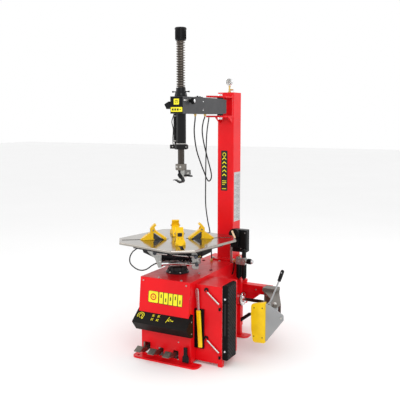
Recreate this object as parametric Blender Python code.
# Tyre changing machine with a square turntable, a swinging tool arm and a side bead breaker.
# Metres, +Z up.  Every size below is measured from the turntable's axis at floor level;
# the empty "machine" then moves the whole machine so that its outer box is centred on the origin.
import math
import bpy
import bmesh
from mathutils import Matrix, Vector

# Where the turntable's axis stands in the part's own frame
TABLE_AXIS_X = -0.1684
TABLE_AXIS_Y = -0.1474

GAP = 0.0003                 # clearance between pieces that touch
ROUND_GAP = 0.002            # clearance of a round hole, whose sides are flats

# Cabinet, its feet and its covers
CABINET_LEFT, CABINET_RIGHT = -0.170, 0.207
CABINET_FRONT, CABINET_BACK = -0.215, 0.440
DECK_Z = 0.550
SHEET = 0.003                # sheet steel of the cabinet
FOOT_T = 0.012               # thickness of the two foot rails
SKIRT_Z = 0.322              # lower edge of the flared front panel
NECK_R = 0.0575              # gearbox neck through the deck

# Turntable
TABLE_X = -0.014             # how far left its axis stands of the drawing's centre line
TABLE_Z = 0.780              # top face
TABLE_T = 0.016
TABLE_CORNER = 0.392         # axis to a cut corner
TABLE_CUT = 0.078            # half the length of a cut corner
TABLE_TURN = math.radians(35.0)
RIB_TURN = math.radians(30.0)  # the ribs and clamp cylinders under the table
SLOT_W = 0.022
JAW_W = 0.060

# Column and swing arm
COLUMN_X0, COLUMN_X1 = 0.038, 0.165
COLUMN_Y0, COLUMN_Y1 = 0.500, 0.640
COLUMN_TOP = 1.777
PIVOT = (0.106, 0.405, 0.0)  # vertical pivot of the swing arm
ARM_X0, ARM_X1 = 0.061, 0.151
ARM_FRONT = -0.210
ARM_Z0, ARM_Z1 = 1.620, 1.727
TOOL = (0.106, -0.155, 0.0)  # vertical axis of the tool shaft
HEX_R = 0.0205               # hexagon bar, across corners / 2
SPRING_Z0, SPRING_Z1 = 1.782, 2.0697
SPRING_R, SPRING_WIRE, SPRING_TURNS = 0.0248, 0.0034, 19

SWITCH_X, SWITCH_Z = 0.221, 0.765  # centre of the switch
AIR_Z = 0.578                # height of the air unit's regulator knob

# Side box, its rubber pad and the bead breaker
BOX_RIGHT, BOX_FRONT, BOX_BACK, BOX_TOP = 0.400, -0.152, 0.075, 0.530
PAD_X1 = 0.440
LEVER_LEAN = math.radians(3.6)  # the tyre lever's lean in its holster
BREAKER = (0.232, 0.556, 0.0)  # vertical hinge of the bead breaker arm
CYLINDER_Y, CYLINDER_Z, CYLINDER_R = 0.465, 0.278, 0.048
BEAM_FRONT = 0.524           # front face of the breaker's beam
BEAM_Z0, BEAM_Z1 = 0.312, 0.374
HINGE_LUGS = (0.388, 0.225)  # lower faces of the two hinge plates
LUG_T = 0.014
CARRIER_Z0, CARRIER_Z1 = 0.256, 0.366
BLADE_PIN = (0.640, 0.150, 0.0)  # vertical pin that holds the blade

PEDAL_AXIS = (0.0, -0.100, 0.070)
PEDAL_X = (-0.137, -0.034, 0.080)
PEDAL_SLOT_TOPS = (0.104, 0.082, 0.082)  # the first pedal also lifts, so its slot is taller

# Air hoses: the points that each one passes.  The table's two are measured from its own axis.
HOSE_R = 0.0042
ARM_HOSE = [(0.118, 0.012, 1.6220), (0.118, 0.010, 1.585), (0.117, 0.000, 1.503), (0.121, 0.022, 1.390),
            (0.130, 0.070, 1.290), (0.138, 0.108, 1.224), (0.142, 0.130, 1.187), (0.144, 0.160, 1.167),
            (0.146, 0.190, 1.185), (0.144, 0.190, 1.228), (0.134, 0.160, 1.318), (0.122, 0.124, 1.431),
            (0.117, 0.112, 1.511), (0.117, 0.128, 1.570), (0.118, 0.147, 1.600), (0.118, 0.150, 1.6220)]
COLUMN_HOSE = [(0.054, 0.330, 1.5984), (0.054, 0.330, 1.585), (0.048, 0.332, 1.560),
               (0.033, 0.340, 1.475), (0.018, 0.357, 1.303),
               (0.004, 0.380, 1.120), (-0.003, 0.395, 0.966), (0.006, 0.409, 0.850), (0.022, 0.412, 0.770),
               (0.036, 0.406, 0.670), (0.042, 0.402, 0.600), (0.044, 0.400, 0.5505)]
TABLE_HOSE_LEFT = [(-0.262, -0.058, 0.7398), (-0.266, -0.060, 0.722), (-0.285, -0.066, 0.698),
                   (-0.316, -0.074, 0.672), (-0.334, -0.082, 0.636), (-0.324, -0.096, 0.597),
                   (-0.279, -0.112, 0.573), (-0.214, -0.138, 0.567), (-0.154, -0.156, 0.583),
                   (-0.110, -0.151, 0.614), (-0.0820, -0.1373, 0.630), (-0.0614, -0.1254, 0.632)]
TABLE_HOSE_RIGHT = [(0.205, -0.030, 0.7405), (0.205, -0.031, 0.722), (0.203, -0.028, 0.695),
                    (0.190, -0.012, 0.672), (0.1649, 0.0144, 0.665), (0.1549, 0.0317, 0.665),
                    (0.1466, 0.0460, 0.665)]

FINISHES = {                 # colour, roughness, metallic
    "red_paint": ((0.760, 0.012, 0.016), 0.32, 0.0),
    "dark_grey_paint": ((0.085, 0.085, 0.088), 0.42, 0.0),
    "black_steel": ((0.018, 0.018, 0.020), 0.38, 0.3),
    "black_plastic": ((0.016, 0.016, 0.017), 0.50, 0.0),
    "rubber": ((0.014, 0.014, 0.015), 0.75, 0.0),
    "polished_steel": ((0.560, 0.555, 0.545), 0.22, 1.0),
    "chrome": ((0.720, 0.720, 0.720), 0.12, 1.0),
    "cast_aluminium": ((0.520, 0.510, 0.490), 0.45, 0.9),
    "cast_iron": ((0.150, 0.150, 0.150), 0.60, 0.6),
    "grey_steel": ((0.420, 0.430, 0.440), 0.38, 0.7),
    "yellow_plastic": ((0.900, 0.620, 0.010), 0.40, 0.0),
    "yellow_paint": ((0.900, 0.600, 0.010), 0.38, 0.0),
    "hose": ((0.012, 0.012, 0.013), 0.45, 0.0),
}

bodies = {}


def clear_scene():
    for item in list(bpy.data.objects):
        bpy.data.objects.remove(item, do_unlink=True)


def finish(name):
    material = bpy.data.materials.get(name)
    if material:
        return material
    colour, roughness, metallic = FINISHES[name]
    material = bpy.data.materials.new(name)
    material.use_nodes = True
    shader = material.node_tree.nodes["Principled BSDF"]
    shader.inputs["Base Color"].default_value = (*colour, 1.0)
    shader.inputs["Roughness"].default_value = roughness
    shader.inputs["Metallic"].default_value = metallic
    return material


def add_body(name, pivot=(0, 0, 0), parent=None, turn=0.0, offset=(0, 0, 0)):
    """An empty on a joint's axis; pieces of that body hang from it.  offset moves the whole body."""
    empty = bpy.data.objects.new(name, None)
    bpy.context.scene.collection.objects.link(empty)
    empty.location = Vector(pivot) + Vector(offset)
    if parent:
        empty.parent = bodies[parent][0]
        empty.location -= Vector(bodies[parent][1])
    empty.rotation_euler = (0, 0, turn)
    bodies[name] = (empty, pivot)


# ---------- shapes: each returns a closed bmesh ----------

def closed(shape):
    bmesh.ops.remove_doubles(shape, verts=shape.verts, dist=1e-6)
    bmesh.ops.recalc_face_normals(shape, faces=shape.faces)
    return shape


def block(low, high):
    shape = bmesh.new()
    bmesh.ops.create_cube(shape, size=1.0)
    size = Vector(high) - Vector(low)
    middle = (Vector(high) + Vector(low)) / 2
    shape.transform(Matrix.Translation(middle) @ Matrix.Diagonal((*size, 1.0)))
    return shape


def prism(outline, along, start, end):
    """Extrude an outline.  along X takes (y, z) points, Y takes (x, z), Z takes (x, y)."""
    place = {"X": lambda p, d: (d, p[0], p[1]),
             "Y": lambda p, d: (p[0], d, p[1]),
             "Z": lambda p, d: (p[0], p[1], d)}[along]
    shape = bmesh.new()
    near = [shape.verts.new(place(p, start)) for p in outline]
    far = [shape.verts.new(place(p, end)) for p in outline]
    shape.faces.new(near)
    shape.faces.new(reversed(far))
    for i in range(len(outline)):
        j = (i + 1) % len(outline)
        shape.faces.new((near[j], near[i], far[i], far[j]))
    return closed(shape)


def turned(profile, centre=(0, 0, 0), along="Z", sides=24, ring=False):
    """Revolve (radius, height) points.  ring joins the last point to the first."""
    shape = bmesh.new()
    loops = []
    for radius, height in profile:
        if radius < 1e-7:
            loops.append([shape.verts.new((0, 0, height))] * sides)
            continue
        loops.append([shape.verts.new((radius * math.cos(2 * math.pi * k / sides),
                                       radius * math.sin(2 * math.pi * k / sides), height))
                      for k in range(sides)])
    pairs = list(zip(loops, loops[1:]))
    if ring:
        pairs.append((loops[-1], loops[0]))
    for lower, upper in pairs:
        for k in range(sides):
            n = (k + 1) % sides
            corners = []
            for vert in (lower[k], lower[n], upper[n], upper[k]):
                if vert not in corners:
                    corners.append(vert)
            if len(corners) > 2:
                shape.faces.new(corners)
    for end in (loops[0], loops[-1]):
        if not ring and end[0] is not end[1]:
            shape.faces.new(end)
    tilt = {"Z": Matrix(), "X": Matrix.Rotation(math.pi / 2, 4, "Y"),
            "Y": Matrix.Rotation(-math.pi / 2, 4, "X")}[along]
    shape.transform(Matrix.Translation(centre) @ tilt)
    return closed(shape)


def cylinder(centre, radius, length, along="Z", sides=20):
    """A cylinder that starts at centre and runs length in the positive direction of its axis."""
    return turned([(radius, 0.0), (radius, length)], centre, along, sides)


def rod(points, radius, sides=10):
    """A bar of round section along straight runs between points."""
    path = [Vector(p) for p in points]
    shape = bmesh.new()
    loops = []
    side = (path[1] - path[0]).orthogonal().normalized()
    for i, point in enumerate(path):
        before = (point - path[i - 1]).normalized() if i else (path[1] - point).normalized()
        after = (path[i + 1] - point).normalized() if i + 1 < len(path) else before
        heading = (before + after).normalized()
        side = (side - heading * side.dot(heading)).normalized()
        other = heading.cross(side)
        stretch = 1.0 / max(0.4, heading.dot(after))
        bend = (after - before)
        loop = []
        for k in range(sides):
            a = 2 * math.pi * k / sides
            offset = side * math.cos(a) + other * math.sin(a)
            if bend.length > 1e-6:
                direction = bend.normalized()
                offset += direction * offset.dot(direction) * (stretch - 1.0)
            loop.append(shape.verts.new(point + offset * radius))
        loops.append(loop)
    shape.faces.new(loops[0])
    shape.faces.new(reversed(loops[-1]))
    for lower, upper in zip(loops, loops[1:]):
        for k in range(sides):
            n = (k + 1) % sides
            shape.faces.new((lower[k], lower[n], upper[n], upper[k]))
    return closed(shape)


def arc(cx, cy, radius, start, end, steps):
    """Points of an arc, angles in degrees."""
    return [(cx + radius * math.cos(math.radians(start + (end - start) * k / steps)),
             cy + radius * math.sin(math.radians(start + (end - start) * k / steps)))
            for k in range(steps + 1)]


def rounded_box(x0, y0, x1, y1, radius, steps=4):
    """Outline of a rectangle with rounded corners."""
    return (arc(x1 - radius, y1 - radius, radius, 0, 90, steps)
            + arc(x0 + radius, y1 - radius, radius, 90, 180, steps)
            + arc(x0 + radius, y0 + radius, radius, 180, 270, steps)
            + arc(x1 - radius, y0 + radius, radius, 270, 360, steps))


def at(shape, matrix):
    shape.transform(matrix)
    return shape


# ---------- objects ----------

def place(name, shape, body):
    empty, pivot = bodies[body]
    shape.transform(Matrix.Translation(-Vector(pivot)))
    mesh = bpy.data.meshes.new(name)
    shape.to_mesh(mesh)
    shape.free()
    item = bpy.data.objects.new(name, mesh)
    bpy.context.scene.collection.objects.link(item)
    item.parent = empty
    return item


def piece(name, look, body, shapes, cuts=(), smooth=None):
    """One solid: the union of shapes, less the cuts.  The helpers stay as hidden guides."""
    item = place(name, shapes[0], body)
    helpers = [("UNION", s) for s in shapes[1:]] + [("DIFFERENCE", s) for s in cuts]
    for count, (operation, shape) in enumerate(helpers):
        guide = place("%s.guide%d" % (name, count), shape, body)
        guide.hide_render = True
        guide.display_type = "WIRE"
        step = item.modifiers.new("%s %d" % (operation.lower(), count), "BOOLEAN")
        step.operation = operation
        step.object = guide
        step.solver = "EXACT"
    item.data.materials.append(finish(look))
    if smooth:
        item.data.shade_smooth()
        item.data.set_sharp_from_angle(angle=math.radians(smooth))
    return item


def hose(name, body, route, radius=HOSE_R, spacing=0.025):
    """A hose: an even walk along a smooth curve through the route's points."""
    knots = [Vector(p) - Vector(bodies[body][1]) for p in route]
    ends = [knots[0] * 2 - knots[1]] + knots + [knots[-1] * 2 - knots[-2]]
    fine = []
    for i in range(1, len(ends) - 2):
        p0, p1, p2, p3 = ends[i - 1:i + 3]
        for k in range(40):
            t = k / 40
            fine.append(0.5 * (2 * p1 + (p2 - p0) * t + (2 * p0 - 5 * p1 + 4 * p2 - p3) * t * t
                               + (3 * p1 - p0 - 3 * p2 + p3) * t ** 3))
    fine.append(knots[-1])
    total = sum((b - a).length for a, b in zip(fine, fine[1:]))
    count = max(3, round(total / spacing))
    walked, target, points = 0.0, 0.0, [fine[0]]
    for a, b in zip(fine, fine[1:]):
        walked += (b - a).length
        if walked >= target + total / count and len(points) < count:
            target += total / count
            points.append(b)
    points.append(fine[-1])
    curve = bpy.data.curves.new(name, "CURVE")
    curve.dimensions = "3D"
    curve.bevel_depth = radius
    curve.bevel_resolution = 2
    curve.use_fill_caps = True
    spline = curve.splines.new("POLY")
    spline.points.add(len(points) - 1)
    for slot, point in zip(spline.points, points):
        slot.co = (*point, 1.0)
    item = bpy.data.objects.new(name, curve)
    bpy.context.scene.collection.objects.link(item)
    item.parent = bodies[body][0]
    curve.materials.append(finish("hose"))
    return item


# ---------- chassis ----------

def make_feet():
    slot_ends = ((-0.192, -0.167), (0.221, 0.246))
    outline = (arc(-0.184, -0.235, 0.035, 180, 270, 5) + arc(0.238, -0.235, 0.035, 270, 360, 5)
               + [(0.273, -0.190), (-0.219, -0.190)])
    cuts = [prism(rounded_box(a, -0.246, b, -0.230, 0.0079), "Z", -0.01, 0.03) for a, b in slot_ends]
    piece("front_foot", "red_paint", "machine", [prism(outline, "Z", 0.0, FOOT_T)], cuts)
    outline = (arc(-0.205, 0.445, 0.035, 180, 270, 5) + arc(0.290, 0.445, 0.035, 270, 360, 5)
               + [(0.325, 0.490), (-0.240, 0.490)])
    cuts = [prism(rounded_box(a, 0.434, b, 0.450, 0.0079), "Z", -0.01, 0.03)
            for a, b in ((-0.205, -0.180), (0.272, 0.297))]
    piece("rear_foot", "red_paint", "machine", [prism(outline, "Z", 0.0, FOOT_T)], cuts)


def make_cabinet():
    low = FOOT_T + GAP
    inner = block((CABINET_LEFT + SHEET, CABINET_FRONT + SHEET, -0.02),
                  (CABINET_RIGHT - SHEET, CABINET_BACK - SHEET, DECK_Z - SHEET))
    cuts = [inner,
            block((-0.3, -0.150, -0.02), (0.3, 0.405, 0.035)),
            cylinder((TABLE_X, 0, DECK_Z - 0.02), NECK_R + ROUND_GAP, 0.04, sides=22),
            cylinder((-0.054, CYLINDER_Y, CYLINDER_Z), CYLINDER_R + ROUND_GAP, 0.4, "X", 24)]
    for x, slot_top in zip(PEDAL_X, PEDAL_SLOT_TOPS):
        cuts.append(block((x - 0.004, -0.23, 0.026), (x + 0.034, -0.20, slot_top)))
    for x, y in ((-0.020, 0.395), (0.165, 0.150)):
        cuts.append(cylinder((x, y, DECK_Z - 0.02), 0.008, 0.04, sides=16))
    cuts.append(block((0.040, 0.430, 0.44), (0.180, 0.45, 0.52)))
    piece("cabinet", "red_paint", "machine",
          [block((CABINET_LEFT, CABINET_FRONT, low), (CABINET_RIGHT, CABINET_BACK, DECK_Z))], cuts)


def make_front_panel():
    top, low = CABINET_FRONT - GAP, CABINET_FRONT - 0.030
    wedge = [(top, DECK_Z + 0.001), (top - 0.004, DECK_Z + 0.001), (low, SKIRT_Z), (low + 0.001, SKIRT_Z),
             (top, SKIRT_Z + 0.026)]
    hollow = [(top + 0.01, DECK_Z - 0.004), (top - 0.0022, DECK_Z - 0.004),
              (low + 0.0022, SKIRT_Z - 0.01), (top + 0.01, SKIRT_Z - 0.01)]
    piece("front_panel", "red_paint", "machine",
          [prism(wedge, "X", CABINET_LEFT, CABINET_RIGHT)],
          [prism(hollow, "X", CABINET_LEFT + 0.0025, CABINET_RIGHT - 0.0025)])


def make_pedal_cover():
    wall = CABINET_FRONT - GAP
    left, right, wrap = CABINET_LEFT - 0.014, CABINET_RIGHT + 0.018, 0.004
    outer = [(wall, 0.3435), (-0.306, 0.2690), (-0.309, 0.262), (-0.262, 0.202), (wall, 0.192)]
    inner = [(wall + 0.01, 0.3470), (wall - 0.001, 0.3375), (-0.301, 0.2670), (-0.3035, 0.263),
             (-0.260, 0.206),
             (wall + 0.01, 0.196)]
    piece("pedal_cover", "black_plastic", "machine",
          [prism(outer, "X", left, right)], [prism(inner, "X", left + wrap, right - wrap)])


def make_side_box():
    left = CABINET_RIGHT + GAP
    cuts = [block((left + SHEET, BOX_FRONT + SHEET, -0.02),
                  (BOX_RIGHT - SHEET, BOX_BACK + 0.02, BOX_TOP - SHEET)),
            block((left - 0.01, BOX_FRONT - 0.01, -0.02), (BOX_RIGHT - 0.030, BOX_BACK + 0.02, 0.020)),
            block((BOX_RIGHT - 0.05, BOX_FRONT + 0.03, -0.02), (BOX_RIGHT + 0.01, BOX_BACK + 0.02, 0.040))]
    shapes = [block((left, BOX_FRONT, 0.0), (BOX_RIGHT, BOX_BACK, BOX_TOP))]
    y = BOX_FRONT - 0.0125
    for z in (0.500, 0.180):       # two bent hooks welded to the front
        shapes.append(cylinder((0.288, BOX_FRONT - 0.004, z), 0.011, 0.006, "Y", 14))
        shapes.append(rod([(0.288, BOX_FRONT + 0.001, z), (0.292, y, z - 0.004), (0.388, y, z - 0.084),
                           (0.388, y, z - 0.114)], 0.0045, 8))
    piece("side_box", "red_paint", "machine", shapes, cuts)


def make_wheel_pad():
    x0 = BOX_RIGHT + GAP
    outline = [(x0, -0.150), (PAD_X1 - 0.004, -0.150), (PAD_X1, -0.146), (PAD_X1, -0.016),
               (PAD_X1 - 0.016, 0.0), (x0, 0.0)]
    cuts = [block((x0 + 0.015, -0.16, 0.22), (x0 + 0.024, -0.145, 0.43))]
    piece("wheel_pad", "rubber", "machine", [prism(outline, "Z", 0.050, 0.540)], cuts)


def make_rear_frame():
    low = FOOT_T + GAP
    front = CABINET_BACK + GAP
    shapes = [block((-0.150, front, low), (0.262, 0.472, DECK_Z)),
              block((-0.060, 0.460, low), (0.183, 0.660, DECK_Z))]
    for z in HINGE_LUGS:
        lug = arc(BREAKER[0], BREAKER[1], 0.032, -90, 90, 8) + [(0.170, BREAKER[1] + 0.032),
                                                                (0.170, BREAKER[1] - 0.032)]
        shapes.append(prism(lug, "Z", z, z + LUG_T))
    t = 0.004
    low_end, top = 0.217, HINGE_LUGS[0] + LUG_T + 0.0005
    pin = [(0.0, low_end), (0.0100, low_end), (0.0100, top), (0.0160, top), (0.0160, top + 0.0075),
           (0.0, top + 0.0075)]
    shapes.append(turned(pin, (BREAKER[0], BREAKER[1], 0), sides=16))
    cuts = [block((-0.150 + t, front + t, -0.02), (0.262 - t, 0.472 - t, DECK_Z - t)),
            block((-0.060 + t, 0.450, -0.02), (0.183 - t, 0.660 - t, DECK_Z - t)),
            cylinder((-0.054, CYLINDER_Y, CYLINDER_Z), CYLINDER_R + ROUND_GAP, 0.4, "X", 24)]
    piece("rear_frame", "red_paint", "machine", shapes, cuts)


def make_column():
    base = DECK_Z + GAP
    shapes = [prism(rounded_box(COLUMN_X0, COLUMN_Y0, COLUMN_X1, COLUMN_Y1, 0.010, 3), "Z", base,
                    COLUMN_TOP),
              prism(rounded_box(0.010, 0.447, 0.205, 0.658, 0.030, 4), "Z", base, base + 0.010)]
    t = 0.005
    cuts = [block((COLUMN_X0 + t, COLUMN_Y0 + t, base + 0.02),
                  (COLUMN_X1 - t, COLUMN_Y1 - t, COLUMN_TOP - t)),
            cylinder((0.106, 0.560, COLUMN_TOP - 0.02), 0.0075, 0.04, sides=16)]
    piece("column", "red_paint", "machine", shapes, cuts)


def make_arm_bracket():
    back = COLUMN_Y0 - GAP
    plate = [(0.048, back), (0.048, 0.300), (0.066, 0.268), (0.090, 0.290)]
    plate += arc(PIVOT[0], PIVOT[1], 0.050, -45, 20, 5) + [(0.165, back)]
    shapes = [prism(plate, "Z", 1.7363, 1.748),
              prism(plate, "Z", 1.599, 1.6107),
              block((0.052, back - 0.012, 1.590), (0.161, back, 1.757))]
    for x in (0.052, 0.149):
        shapes.append(prism([(back, 1.600), (back, 1.555), (0.430, 1.5995), (0.430, 1.605)], "X", x,
                            x + 0.010))
    cuts = [cylinder((PIVOT[0], PIVOT[1], 1.5), 0.0125, 0.4, sides=20)]
    piece("arm_bracket", "red_paint", "machine", shapes, cuts)
    nut = [(0.0, 0.0), (0.020, 0.0), (0.020, 0.003), (0.0165, 0.003), (0.0165, 0.014), (0.0, 0.016)]
    x, y = PIVOT[0], PIVOT[1]
    bottom = turned(nut, (0, 0, 0), sides=12)
    bottom = at(bottom, Matrix.Translation((x, y, 1.599 - GAP)) @ Matrix.Rotation(math.pi, 4, "X"))
    piece("arm_pivot_pin", "chrome", "machine",
          [cylinder((x, y, 1.590), 0.0120, 0.165, sides=20), turned(nut, (x, y, 1.748 + GAP), sides=12),
           bottom])


def make_gauge():
    x, y = 0.106, 0.560
    top = COLUMN_TOP
    stem = [(0.0, -0.012), (0.0070, -0.012), (0.0070, GAP), (0.0120, GAP), (0.0120, 0.010), (0.0070, 0.012),
            (0.0070, 0.026), (0.0095, 0.028), (0.0095, 0.036), (0.0050, 0.038), (0.0050, 0.0560), (0.0,
                                                                                                   0.0560)]
    case = [(0.0, -0.009), (0.0225, -0.009), (0.0225, -0.0125), (0.0250, -0.0125), (0.0250, 0.006),
            (0.0225, 0.011), (0.0, 0.011)]
    piece("pressure_gauge", "chrome", "machine",
          [turned(stem, (x, y, top), sides=16), turned(case, (x, y, top + 0.077), "Y", 22),
           turned([(0.0, 0), (0.0055, 0), (0.0055, 0.018), (0.0035, 0.019), (0.0035, 0.024), (0.0, 0.024)],
                  (x + 0.001, y, top + 0.032), "X", 12)], smooth=35)
    add_body("needle", (x, y - 0.0095, top + 0.077), "machine")
    hand = [(-0.0012, -0.005), (0.0012, -0.005), (0.0004, 0.016), (-0.0004, 0.016)]
    hand = [(x + a, top + 0.077 + b) for a, b in hand]
    piece("gauge_needle", "black_plastic", "needle",
          [prism(hand, "Y", y - 0.0105, y - 0.0095),
           cylinder((x, y - 0.0112, top + 0.077), 0.0025, 0.0017, "Y", 12)])


def make_switch():
    bracket = block((0.187, 0.415, DECK_Z + GAP), (0.204, 0.434, 0.680))
    box = prism(rounded_box(0.192, 0.437, 0.304, 0.497, 0.010), "Z", 0.632, 0.795)
    boss = cylinder((SWITCH_X, 0.410, SWITCH_Z), 0.034, 0.035, "Y", 22)
    lower = block((0.190, 0.412, 0.6683), (0.250, 0.440, 0.735))
    piece("switch_box", "black_plastic", "machine", [box, boss, lower, bracket], smooth=35)
    add_body("switch", (SWITCH_X, 0.400, SWITCH_Z), "machine")
    disc = turned([(0.0, 0.0), (0.037, 0.0), (0.040, 0.003), (0.040, 0.0097), (0.0, 0.0097)],
                  (SWITCH_X, 0.400, SWITCH_Z), "Y", 22)
    bar = at(block((-0.007, -0.008, -0.030), (0.007, 0.002, 0.030)),
             Matrix.Translation((SWITCH_X, 0.400, SWITCH_Z)) @ Matrix.Rotation(math.radians(-25), 4, "Y"))
    piece("switch_knob", "black_plastic", "switch", [disc, bar], smooth=35)


def make_air_unit():
    y, z = 0.404, AIR_Z
    plate = block((0.2315, 0.420, z - 0.018), (0.2615, 0.4399, z + 0.022))
    body = block((0.244, y - 0.020, z - 0.026), (0.318, y + 0.020, z + 0.024))
    upper = cylinder((0.302, y, z + 0.022), 0.0155, 0.060, sides=20)
    shapes = [body, plate, upper, cylinder((0.317, y, z), 0.012, 0.010, "X", 12)]
    bowl = [(0.0, 0.0), (0.008, 0.0), (0.008, 0.010), (0.0165, 0.016), (0.0185, 0.024), (0.0185, 0.118),
            (0.0, 0.118)]
    for x in (0.2625, 0.3025):       # filter bowl and oiler bowl
        shapes.append(turned(bowl, (x, y, z - 0.141), sides=20))
    piece("air_unit", "cast_aluminium", "machine", shapes, smooth=35)
    add_body("regulator", (0.328, y, z), "machine")
    knob = [(0.0, 0.0), (0.017, 0.0), (0.019, 0.004), (0.019, 0.030), (0.015, 0.032), (0.015, 0.044),
            (0.0, 0.044)]
    piece("regulator_knob", "black_plastic", "regulator", [turned(knob, (0.3275, y, z), "X", 18)],
          smooth=35)


def make_lever():
    x0 = CABINET_RIGHT + GAP
    face = BOX_FRONT - GAP
    piece("lever_holster", "black_plastic", "machine",
          [block((x0, face - 0.0165, 0.110), (x0 + 0.066, face, 0.370))],
          [block((x0 + 0.004, face - 0.03, 0.114), (x0 + 0.062, face - 0.0045, 0.40))])
    foot = (x0 + 0.044, face - 0.013, 0.116)
    add_body("lever", foot, "machine")
    tilt = Matrix.Translation(foot) @ Matrix.Rotation(-LEVER_LEAN, 4, "Y")
    sleeve = prism(rounded_box(-0.0155, -0.0075, 0.0155, 0.0075, 0.004, 2), "Z", 0.0, 0.245)
    bar = [(-0.0110, 0.0105), (0.0110, 0.0105), (0.0118, 0.34), (0.0125, 0.382), (0.006, 0.392),
           (-0.006, 0.392),
           (-0.0125, 0.382), (-0.0118, 0.34)]
    piece("tyre_lever", "polished_steel", "lever",
          [at(prism(bar, "Y", -0.003, 0.003), tilt), at(sleeve, tilt)])


# ---------- drive inside the cabinet ----------

def make_drive():
    """Worm gearbox, motor, belt and rotary valve, all about the turntable's axis."""
    add_body("drive", parent="machine", offset=(TABLE_X, 0, 0))
    t = 0.009
    shapes = [block((-0.085, -0.085, 0.400), (0.085, 0.105, 0.535)),
              turned([(NECK_R + 0.010, 0.530), (NECK_R + 0.004, DECK_Z - 0.004), (NECK_R, DECK_Z - 0.004),
                      (NECK_R, 0.590), (NECK_R - 0.006, 0.598)], sides=22)]
    cuts = [block((-0.085 + t, -0.085 + t, 0.300), (0.085 - t, 0.105 - t, 0.535 - t)),
            cylinder((0, 0, 0.5), 0.0310, 0.2, sides=20),
            cylinder((-0.1, 0.0765, 0.440), 0.0125, 0.3, "X", 14)]
    piece("gearbox", "black_steel", "drive", shapes, cuts)
    piece("table_shaft", "grey_steel", "turntable",
          [cylinder((0, 0, 0.385), 0.0300, 0.2147, sides=20),
           cylinder((0, 0, 0.428), 0.0560, 0.024, sides=20)])
    add_body("worm", (0.0, 0.0765, 0.440), "drive")
    piece("worm_pulley", "grey_steel", "worm",
          [cylinder((-0.080, 0.0765, 0.440), 0.0120, 0.225, "X", 14),
           cylinder((-0.030, 0.0765, 0.440), 0.0180, 0.060, "X", 14),
           cylinder((0.112, 0.0765, 0.440), 0.0500, 0.020, "X", 18)])
    piece("motor", "black_steel", "drive",
          [cylinder((-0.110, 0.255, 0.430), 0.0620, 0.205, "X", 14),
           block((-0.080, 0.200, 0.355), (0.070, 0.310, 0.400))])
    add_body("motor_spin", (0.0, 0.255, 0.430), "drive")
    piece("motor_pulley", "grey_steel", "motor_spin",
          [cylinder((0.0953, 0.255, 0.430), 0.0095, 0.045, "X", 12),
           cylinder((0.112, 0.255, 0.430), 0.0300, 0.020, "X", 14)])
    big, small = 0.0520, 0.0318
    belt = (arc(0.0765, 0.440, big + 0.006, 90, 270, 14) + arc(0.255, 0.430, small + 0.006, -90, 90, 12))
    hole = (arc(0.0765, 0.440, big, 90, 270, 14) + arc(0.255, 0.430, small, -90, 90, 12))
    piece("drive_belt", "rubber", "drive", [prism(belt, "X", 0.114, 0.130)], [prism(hole, "X", 0.10, 0.14)])
    piece("rotary_valve", "cast_aluminium", "drive",
          [cylinder((0, 0, 0.330), 0.0280, 0.0547, sides=20),
           cylinder((0, -0.045, 0.350), 0.006, 0.03, "Y", 10)])


# ---------- turntable and its jaws ----------

def table_outline(corner, cut):
    """A square with cut corners, whose corners lie at 45 degrees plus the table's turn."""
    points = []
    for k in range(4):
        a = TABLE_TURN + k * math.pi / 2
        for side in (-1, 1):
            points.append((corner * math.cos(a) - side * cut * math.sin(a),
                           corner * math.sin(a) + side * cut * math.cos(a)))
    return points


def radial_slots(low, high, r0=0.060, r1=0.374):
    cuts = []
    for k in range(4):
        turn = Matrix.Rotation(TABLE_TURN + k * math.pi / 2, 4, "Z")
        cuts.append(at(block((r0, -SLOT_W / 2, low), (r1, SLOT_W / 2, high)), turn))
    return cuts


def make_table():
    low = TABLE_Z - TABLE_T
    edge = 0.004
    shape = prism(table_outline(TABLE_CORNER, TABLE_CUT), "Z", low, TABLE_Z)
    bmesh.ops.bevel(shape, geom=list(shape.edges), offset=edge, segments=2, affect="EDGES", profile=0.5)
    piece("table_top", "polished_steel", "turntable", [shape], radial_slots(low - 0.01, TABLE_Z + 0.01))
    under = low - GAP
    cone = [(0.0, 0.6003), (0.040, 0.6003), (0.046, 0.640), (0.046, 0.700), (0.058, 0.745), (0.0, 0.745)]
    shapes = [prism(table_outline(0.300, 0.095), "Z", under - 0.022, under),
              turned(cone, sides=22)]
    for turn in (RIB_TURN, RIB_TURN + math.pi):
        rib = [(0.030, 0.712), (0.235, 0.712), (0.230, 0.694), (0.120, 0.640), (0.095, 0.612),
               (0.030, 0.604)]
        for side in (-0.032, 0.024):
            shapes.append(at(prism(rib, "Y", side, side + 0.008), Matrix.Rotation(turn, 4, "Z")))
    piece("table_hub", "cast_iron", "turntable", shapes,
          radial_slots(under - 0.03, under + 0.01, 0.060, 0.34))
    add_body("clamp_plate_turn", (0, 0, 0), "turntable")
    ring = [(0.0615, 0.715), (0.098, 0.715), (0.098, 0.7262), (0.0615, 0.7262)]
    piece("clamp_ring", "grey_steel", "clamp_plate_turn", [turned(ring, sides=24, ring=True)])


def make_cylinders():
    for name, side in (("clamp_cylinder_front", -1), ("clamp_cylinder_rear", 1)):
        y = side * 0.078
        profile = [(0.0, -0.105), (0.026, -0.105), (0.026, -0.085), (0.021, -0.085), (0.021, 0.070),
                   (0.026, 0.070),
                   (0.026, 0.090), (0.007, 0.090), (0.007, 0.120), (0.0, 0.120)]
        turn = Matrix.Rotation(RIB_TURN, 4, "Z")
        shape = turned(profile, (0.0, 0.0, 0.0), "X", 14)
        shape = at(shape, turn @ Matrix.Translation((0.01 * side, y, 0.632)))
        piece(name, "chrome", "turntable", [shape], smooth=35)


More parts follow.
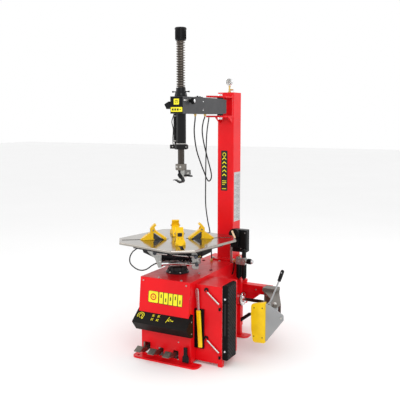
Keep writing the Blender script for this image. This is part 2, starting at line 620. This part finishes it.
def make_jaws():
    z = TABLE_Z + GAP
    wedge = [(0.252, z), (0.250, z + 0.004), (0.193, z + 0.046), (0.178, z + 0.046), (0.178, z)]
    hook = [(0.184, z), (0.184, z + 0.078), (0.152, z + 0.108), (0.142, z + 0.101), (0.160, z + 0.078),
            (0.158, z + 0.066), (0.090, z + 0.016), (0.074, z + 0.004), (0.074, z)]
    window = [(0.166, z + 0.008), (0.166, z + 0.052), (0.110, z + 0.012), (0.108, z + 0.008)]
    for k in range(4):
        body = "jaw_%d" % (k + 1)
        add_body(body + "_slide", (0, 0, 0), "turntable", TABLE_TURN + k * math.pi / 2)
        tongue = block((0.100, -SLOT_W / 2 + 0.001, TABLE_Z - 0.046),
                       (0.250, SLOT_W / 2 - 0.001, z + 0.002))
        shoe = block((0.105, -0.024, TABLE_Z - 0.050), (0.245, 0.024, TABLE_Z - TABLE_T - 0.0226))
        piece(body, "yellow_paint", body + "_slide",
              [prism(wedge, "Y", -JAW_W / 2, JAW_W / 2), prism(hook, "Y", -0.025, 0.025), tongue, shoe],
              [prism(window, "Y", -0.019, 0.040), prism(window, "Y", -0.040, -0.019 + 0.010)])


# ---------- swing arm and tool ----------

def make_arm():
    x0, x1 = ARM_X0, ARM_X1
    px, py = PIVOT[0], PIVOT[1]
    tx, ty = TOOL[0], TOOL[1]
    plan = [(x0, ARM_FRONT), (x1, ARM_FRONT)] + arc(px, py, 0.045, 0, 180, 10)
    side = [(ARM_FRONT - 0.01, 1.5), (ARM_FRONT - 0.01, 1.9), (0.50, 1.9), (0.50, ARM_Z1 - 0.012),
            (0.45, ARM_Z1 - 0.012), (0.340, ARM_Z1), (ARM_FRONT - 0.005, ARM_Z1)]
    shapes = [prism(plan, "Z", ARM_Z0, ARM_Z1)]
    t = 0.005
    cuts = [prism([(0.340, ARM_Z1), (0.340, 1.9), (0.50, 1.9), (0.50, ARM_Z1 - 0.016)], "X", 0.0, 0.3),
            prism([(0.340, ARM_Z0), (0.50, ARM_Z0 + 0.016), (0.50, 1.5), (0.340, 1.5)], "X", 0.0, 0.3),
            block((x0 + t, ARM_FRONT + t, ARM_Z0 + t), (x1 - t, 0.330, ARM_Z1 - t)),
            cylinder((tx, ty, 1.5), 0.0320 + GAP, 0.4, sides=22),
            cylinder((px, py, 1.5), 0.0125, 0.4, sides=20),
            cylinder((*ARM_HOSE[0][:2], 1.6), 0.0060, 0.05, sides=12),
            cylinder((*ARM_HOSE[-1][:2], 1.6), 0.0060, 0.05, sides=12)]
    piece("swing_arm", "dark_grey_paint", "arm", shapes + handle_shapes(), cuts)


def make_tool_guide():
    x, y = TOOL[0], TOOL[1]
    bore = HEX_R + 0.0006
    tube = [(bore, 1.4285), (0.0320, 1.4285), (0.0320, ARM_Z1 + GAP), (0.0400, ARM_Z1 + GAP),
            (0.0400, ARM_Z1 + 0.007), (0.0370, ARM_Z1 + 0.020), (0.0310, 1.762), (0.0300, SPRING_Z0 - GAP),
            (bore, SPRING_Z0 - GAP)]
    bar = rod([(x - 0.056, y, 1.757), (x + 0.056, y, 1.757)], 0.0035, 8)
    balls = [turned([(0.0, -0.006), (0.0042, -0.0042), (0.006, 0.0), (0.0042, 0.0042), (0.0, 0.006)],
                    (x + s * 0.058, y, 1.757), sides=10) for s in (-1, 1)]
    piece("guide_tube", "black_steel", "arm",
          [turned(tube, (x, y, 0), sides=22, ring=True), bar] + balls,
          [cylinder((x, y, 1.3), bore, 0.6, sides=22)], smooth=35)
    ring = [(0.0250, 1.396), (0.0400, 1.396), (0.0420, 1.400), (0.0420, 1.424), (0.0400, 1.428),
            (0.0250, 1.428)]
    blocks = [block((x - 0.074, y - 0.014, 1.399), (x - 0.036, y + 0.014, 1.425)),
              block((x + 0.036, y - 0.012, 1.400), (x + 0.046, y + 0.012, 1.424))]
    lock = turned([(0.0, 1.418), (0.006, 1.418), (0.006, 1.440), (0.0115, 1.442), (0.0115, ARM_Z0 - GAP),
                   (0.0, ARM_Z0 - GAP)], (x - 0.0445, y + 0.004, 0), sides=16)
    piece("shaft_lock", "black_steel", "arm",
          [turned(ring, (x, y, 0), sides=22, ring=True)] + blocks + [lock],
          [cylinder((x, y, 1.3), 0.0250, 0.11, sides=22)], smooth=35)


def make_tool():
    x, y = TOOL[0], TOOL[1]
    hexagon = [(x + HEX_R * math.cos(math.radians(60 * k + 30)),
                y + HEX_R * math.sin(math.radians(60 * k + 30)))
               for k in range(6)]
    piece("tool_shaft", "polished_steel", "tool",
          [prism(hexagon, "Z", 1.270, SPRING_Z0 - 0.001), cylinder((x, y, 1.78), 0.0180, 0.2925, sides=20)])
    cap = [(0.0184, 2.0700), (0.0310, 2.0700), (0.0330, 2.074), (0.0335, 2.134), (0.0375, 2.138),
           (0.0375, 2.144),
           (0.0330, 2.150), (0.0, 2.152), (0.0, 2.0728), (0.0184, 2.0728)]
    piece("shaft_cap", "black_plastic", "tool", [turned(cap, (x, y, 0), sides=22, ring=True)], smooth=35)
    spot = Matrix.Translation((x, y, 0))
    clamp = block((-0.025, -0.028, 1.2640), (0.025, 0.028, 1.3030))
    neck = block((-0.022, -0.016, 1.215), (0.030, 0.016, 1.268))
    bracket = block((0.010, -0.018, 1.230), (0.060, 0.018, 1.262))
    spout = prism([(0.030, 1.236), (0.062, 1.236), (0.078, 1.228), (0.030, 1.228)], "Y", -0.022, 0.022)
    finger = prism([(-0.050, 1.203), (-0.020, 1.200), (-0.012, 1.190), (0.0, 1.183), (0.014, 1.188),
                    (0.020, 1.200),
                    (0.016, 1.218), (-0.006, 1.222), (-0.012, 1.209), (-0.048, 1.209)], "Y", -0.020, 0.020)
    socket = prism([((HEX_R + GAP) * math.cos(math.radians(60 * k + 30)),
                     (HEX_R + GAP) * math.sin(math.radians(60 * k + 30))) for k in range(6)], "Z", 1.2697, 1.32)
    shapes = [at(s, spot) for s in (clamp, neck, bracket, spout, finger)]
    piece("mount_head", "black_steel", "tool", shapes, [at(socket, spot)])


def make_spring():
    """A helix whose ends are ground flat between the guide and the cap."""
    x, y = TOOL[0], TOOL[1]
    low, high = SPRING_Z0 + SPRING_WIRE, SPRING_Z1 - SPRING_WIRE
    steps = 12
    sides = 5
    shape = bmesh.new()
    loops = []
    for i in range(SPRING_TURNS * steps + 1):
        a = 2 * math.pi * i / steps
        z = low + (high - low) * i / (SPRING_TURNS * steps)
        out = Vector((math.cos(a), math.sin(a), 0))
        loops.append([shape.verts.new(Vector((x, y, z)) + out * (SPRING_R + SPRING_WIRE * math.cos(b))
                                      + Vector((0, 0, SPRING_WIRE * math.sin(b))))
                      for b in [2 * math.pi * k / sides for k in range(sides)]])
    shape.faces.new(loops[0])
    shape.faces.new(reversed(loops[-1]))
    for lower, upper in zip(loops, loops[1:]):
        for k in range(sides):
            n = (k + 1) % sides
            shape.faces.new((lower[k], lower[n], upper[n], upper[k]))
    piece("shaft_spring", "black_steel", "arm", [closed(shape)], smooth=60)


def make_lock_knob():
    x = ARM_X1 + GAP
    add_body("lock_knob_turn", (x, -0.118, 1.700), "arm")
    knob = [(0.0, 0.0), (0.010, 0.0), (0.010, 0.012), (0.018, 0.014), (0.0195, 0.020), (0.018, 0.030),
            (0.0, 0.033)]
    piece("lock_knob", "black_plastic", "lock_knob_turn", [turned(knob, (x, -0.118, 1.700), "X", 18)],
          smooth=35)


def handle_shapes():
    """Grip on the left of the arm's front end."""
    tilt = Matrix.Translation((ARM_X0 - 0.0005, -0.185, 1.684)) @ Matrix.Rotation(math.radians(-28), 4, "Y")
    grip = at(block((-0.042, -0.020, -0.016), (-0.006, 0.020, 0.016)), tilt)
    foot = block((ARM_X0 - 0.018, -0.194, 1.673), (ARM_X0 + 0.002, -0.176, 1.695))
    return [grip, foot]


# ---------- pedals ----------

def make_pedals():
    py, pz = PEDAL_AXIS[1], PEDAL_AXIS[2]
    names = ("turn_pedal", "clamp_pedal", "breaker_pedal")
    for name, x in zip(names, PEDAL_X):
        add_body(name + "_hinge", (x, py, pz), "machine")
        pad = prism([(-0.325, 0.070), (-0.279, 0.093), (-0.277, 0.089), (-0.323, 0.066)], "X", x - 0.025,
                    x + 0.023)
        arm = prism([(-0.306, 0.072), (-0.285, 0.088), (-0.262, 0.082), (-0.235, 0.074), (py, pz + 0.014),
                     (py + 0.014, pz), (py, pz - 0.014), (-0.250, 0.050), (-0.285, 0.056)],
                    "X", x + 0.004, x + 0.022)
        shapes = [pad, arm]
        if name == "turn_pedal":
            shapes.append(block((x + 0.008, -0.258, 0.060), (x + 0.018, -0.248, 0.118)))
        piece(name, "grey_steel", name + "_hinge", shapes,
              [cylinder((x - 0.05, py, pz), 0.0065, 0.1, "X", 12)])
    piece("pedal_shaft", "grey_steel", "machine",
          [cylinder((CABINET_LEFT + SHEET + GAP, py, pz), 0.0060,
                    CABINET_RIGHT - CABINET_LEFT - 2 * SHEET - 2 * GAP, "X", 12)])
    piece("pedal_valves", "cast_aluminium", "machine",
          [block((-0.150, -0.055, 0.040), (0.125, 0.010, 0.095))])
    add_body("inflate_pedal_hinge", (0.178, -0.232, 0.026), "machine")
    plate = prism([(0.156, 0.022), (0.200, 0.022), (0.200, 0.056), (0.190, 0.074), (0.190, 0.122),
                   (0.166, 0.122),
                   (0.166, 0.074), (0.156, 0.056)], "Y", -0.238, -0.228)
    piece("inflate_pedal", "black_steel", "inflate_pedal_hinge", [plate])


# ---------- bead breaker ----------

def make_breaker():
    x, y = BREAKER[0], BREAKER[1]
    beam = block((x, BEAM_FRONT, BEAM_Z0), (0.455, BEAM_FRONT + 0.062, BEAM_Z1))
    gusset = prism([(x + 0.020, 0.248), (0.300, 0.248), (0.365, 0.300), (0.365, BEAM_Z0 + 0.005),
                    (x + 0.020, BEAM_Z0 + 0.005)], "Y", BEAM_FRONT + 0.004, BEAM_FRONT + 0.056)
    tube_low = HINGE_LUGS[1] + LUG_T + 0.0005
    tube = cylinder((x, y, tube_low), 0.0290, HINGE_LUGS[0] - 0.0005 - tube_low, sides=20)
    piece("breaker_arm", "red_paint", "breaker", [beam, gusset, tube],
          [cylinder((x, y, 0.1), 0.0105, 0.4, sides=16)])
    face = BEAM_FRONT - GAP
    outline = [(0.436, face), (0.531, face), (0.561, 0.440), (0.668, 0.190), (0.660, 0.128), (0.618, 0.128),
               (0.546, 0.300), (0.440, 0.440)]
    low, high, plate = CARRIER_Z0, CARRIER_Z1, 0.008
    shapes = [block((0.436, face - plate, low), (0.531, face, high)),
              prism(outline, "Z", high - plate, high),
              prism(outline, "Z", low, low + plate),
              prism([(0.531, face), (0.561, 0.440), (0.668, 0.190), (0.660, 0.188), (0.553, 0.438),
                     (0.523, face)], "Z", low, high),
              block((0.432, 0.4400, high - 0.0035), (0.534, face, high + 0.022)),
              block((0.446, 0.440, low + 0.004), (0.559, 0.446, high - 0.004))]
    pin = [(0.0, low - 0.010), (0.0100, low - 0.010), (0.0100, high - 0.0005), (0.0160, high - 0.0005),
           (0.0160, high + 0.010), (0.0, high + 0.010)]
    piece("blade_carrier", "grey_steel", "breaker",
          shapes + [turned(pin, (BLADE_PIN[0], BLADE_PIN[1], 0), sides=16)])


def make_blade():
    front, back = 0.108, 0.116
    plate = [(0.512, 0.345), (0.586, 0.383), (0.606, 0.380), (0.712, 0.322), (0.716, 0.312), (0.716, 0.286),
             (0.600, 0.128), (0.586, 0.124), (0.512, 0.130)]
    boss = cylinder((BLADE_PIN[0], BLADE_PIN[1], CARRIER_Z0 + 0.0085), 0.022,
                    CARRIER_Z1 - CARRIER_Z0 - 0.017, sides=20)
    link = block((BLADE_PIN[0] - 0.018, 0.112, 0.270), (BLADE_PIN[0] + 0.018, 0.150, 0.335))
    piece("blade", "grey_steel", "blade_tilt", [prism(plate, "Y", front, back), boss, link],
          [cylinder((BLADE_PIN[0], BLADE_PIN[1], 0.1), 0.0105, 0.4, sides=16)])
    cover = (arc(0.510, 0.352, 0.020, 180, 105, 4) + [(0.586, 0.392), (0.592, 0.385), (0.592, 0.118)]
             + [(0.584, 0.112)] + arc(0.523, 0.128, 0.020, 270, 180, 4) + [(0.492, 0.200), (0.490, 0.300)])
    slit = [(0.5055, 0.07), (0.5055, 0.45), (0.70, 0.45), (0.70, 0.07)]
    piece("blade_cover", "yellow_plastic", "blade_tilt", [prism(cover, "Y", front - 0.0065, back + 0.0065)],
          [prism(slit, "Y", front - GAP, back + GAP)])
    z = 0.375
    bar = rod([(0.613, 0.112, z + 0.012), (0.628, 0.112, z + 0.032), (0.680, 0.112, 0.545)], 0.0055, 10)
    foot = block((0.604, 0.1163, z - 0.035), (0.622, 0.1213, z + 0.012))
    ear = block((0.604, 0.1065, z + 0.0085), (0.622, 0.1213, z + 0.014))
    tip = Vector((0.680, 0.112, 0.5453)), Vector((0.706, 0.112, 0.622))
    turn = (tip[1] - tip[0]).to_track_quat("Z", "Y").to_matrix().to_4x4()
    grip = [(0.0, 0.0), (0.011, 0.001), (0.012, 0.010), (0.012, 0.074), (0.009, 0.081), (0.0, 0.083)]
    knob = at(turned(grip, sides=16), Matrix.Translation(tip[0] - (tip[1] - tip[0]) * 0.02) @ turn)
    piece("blade_handle", "grey_steel", "blade_tilt", [bar, foot, ear, knob], smooth=35)


def make_bead_cylinder():
    y, z = CYLINDER_Y, CYLINDER_Z
    barrel = [(0.006, -0.050), (CYLINDER_R, -0.050), (CYLINDER_R, 0.268), (0.040, 0.274), (0.024, 0.276),
              (0.024, 0.290), (0.0125, 0.290), (0.0125, 0.262), (0.046, 0.262), (0.046, -0.044), (0.006,
                                                                                                  -0.044)]
    piece("bead_cylinder", "chrome", "machine", [turned(barrel, (0, y, z), "X", 24, ring=True)], smooth=35)
    add_body("piston", (0.0, y, z), "machine")
    rod_profile = [(0.0, 0.090), (0.0450, 0.090), (0.0450, 0.110), (0.0115, 0.110), (0.0115, 0.430),
                   (0.0, 0.430)]
    piece("piston_rod", "black_steel", "piston", [turned(rod_profile, (0, y, z), "X", 14)], smooth=35)


# ---------- hoses ----------

def make_hoses():
    hose("arm_hose", "arm", ARM_HOSE)
    hose("column_hose", "machine", COLUMN_HOSE)
    hose("table_hose_left", "turntable", TABLE_HOSE_LEFT)
    hose("table_hose_right", "turntable", TABLE_HOSE_RIGHT)


def build():
    clear_scene()
    machine = bpy.data.objects.new("machine", None)
    bpy.context.scene.collection.objects.link(machine)
    machine.location = (TABLE_AXIS_X, TABLE_AXIS_Y, 0.0)
    bodies["machine"] = (machine, (0, 0, 0))
    add_body("turntable", parent="machine", offset=(TABLE_X, 0, 0))
    add_body("arm", PIVOT, "machine")
    add_body("tool", TOOL, "arm")
    add_body("breaker", BREAKER, "machine")
    add_body("blade_tilt", BLADE_PIN, "breaker")
    make_feet()
    make_cabinet()
    make_front_panel()
    make_pedal_cover()
    make_side_box()
    make_wheel_pad()
    make_rear_frame()
    make_column()
    make_arm_bracket()
    make_gauge()
    make_switch()
    make_air_unit()
    make_lever()
    make_drive()
    make_table()
    make_cylinders()
    make_jaws()
    make_arm()
    make_tool_guide()
    make_tool()
    make_spring()
    make_lock_knob()
    make_pedals()
    make_breaker()
    make_blade()
    make_bead_cylinder()
    make_hoses()


build()
